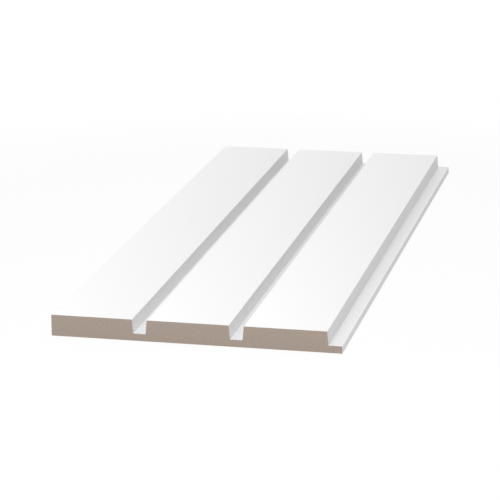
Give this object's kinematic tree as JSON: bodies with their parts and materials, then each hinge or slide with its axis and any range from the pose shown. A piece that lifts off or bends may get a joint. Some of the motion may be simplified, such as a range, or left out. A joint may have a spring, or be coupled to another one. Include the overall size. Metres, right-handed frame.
{
  "type": "grooved wall panel",
  "caption": "Flat fibreboard wall panel with tapered grooves between wide flat slats and a thin ledge along one edge, which the next panel butts against.",
  "frame": {"origin": "middle of the flat back face, which is glued to the wall and is the lowest face as the panel lies", "axes": "+X across the slats towards the ledge, +Y along the slats, +Z out of the face, away from the wall"},
  "size_m": [0.216, 0.57, 0.016],
  "materials": {
    "coated_fibreboard": "satin white coat on the face, grooves and long edges; bare grey-brown fibreboard on the sawn ends and the back"
  },
  "bodies": {
    "root": {"panel": "coated_fibreboard"}
  },
  "joints": []
}
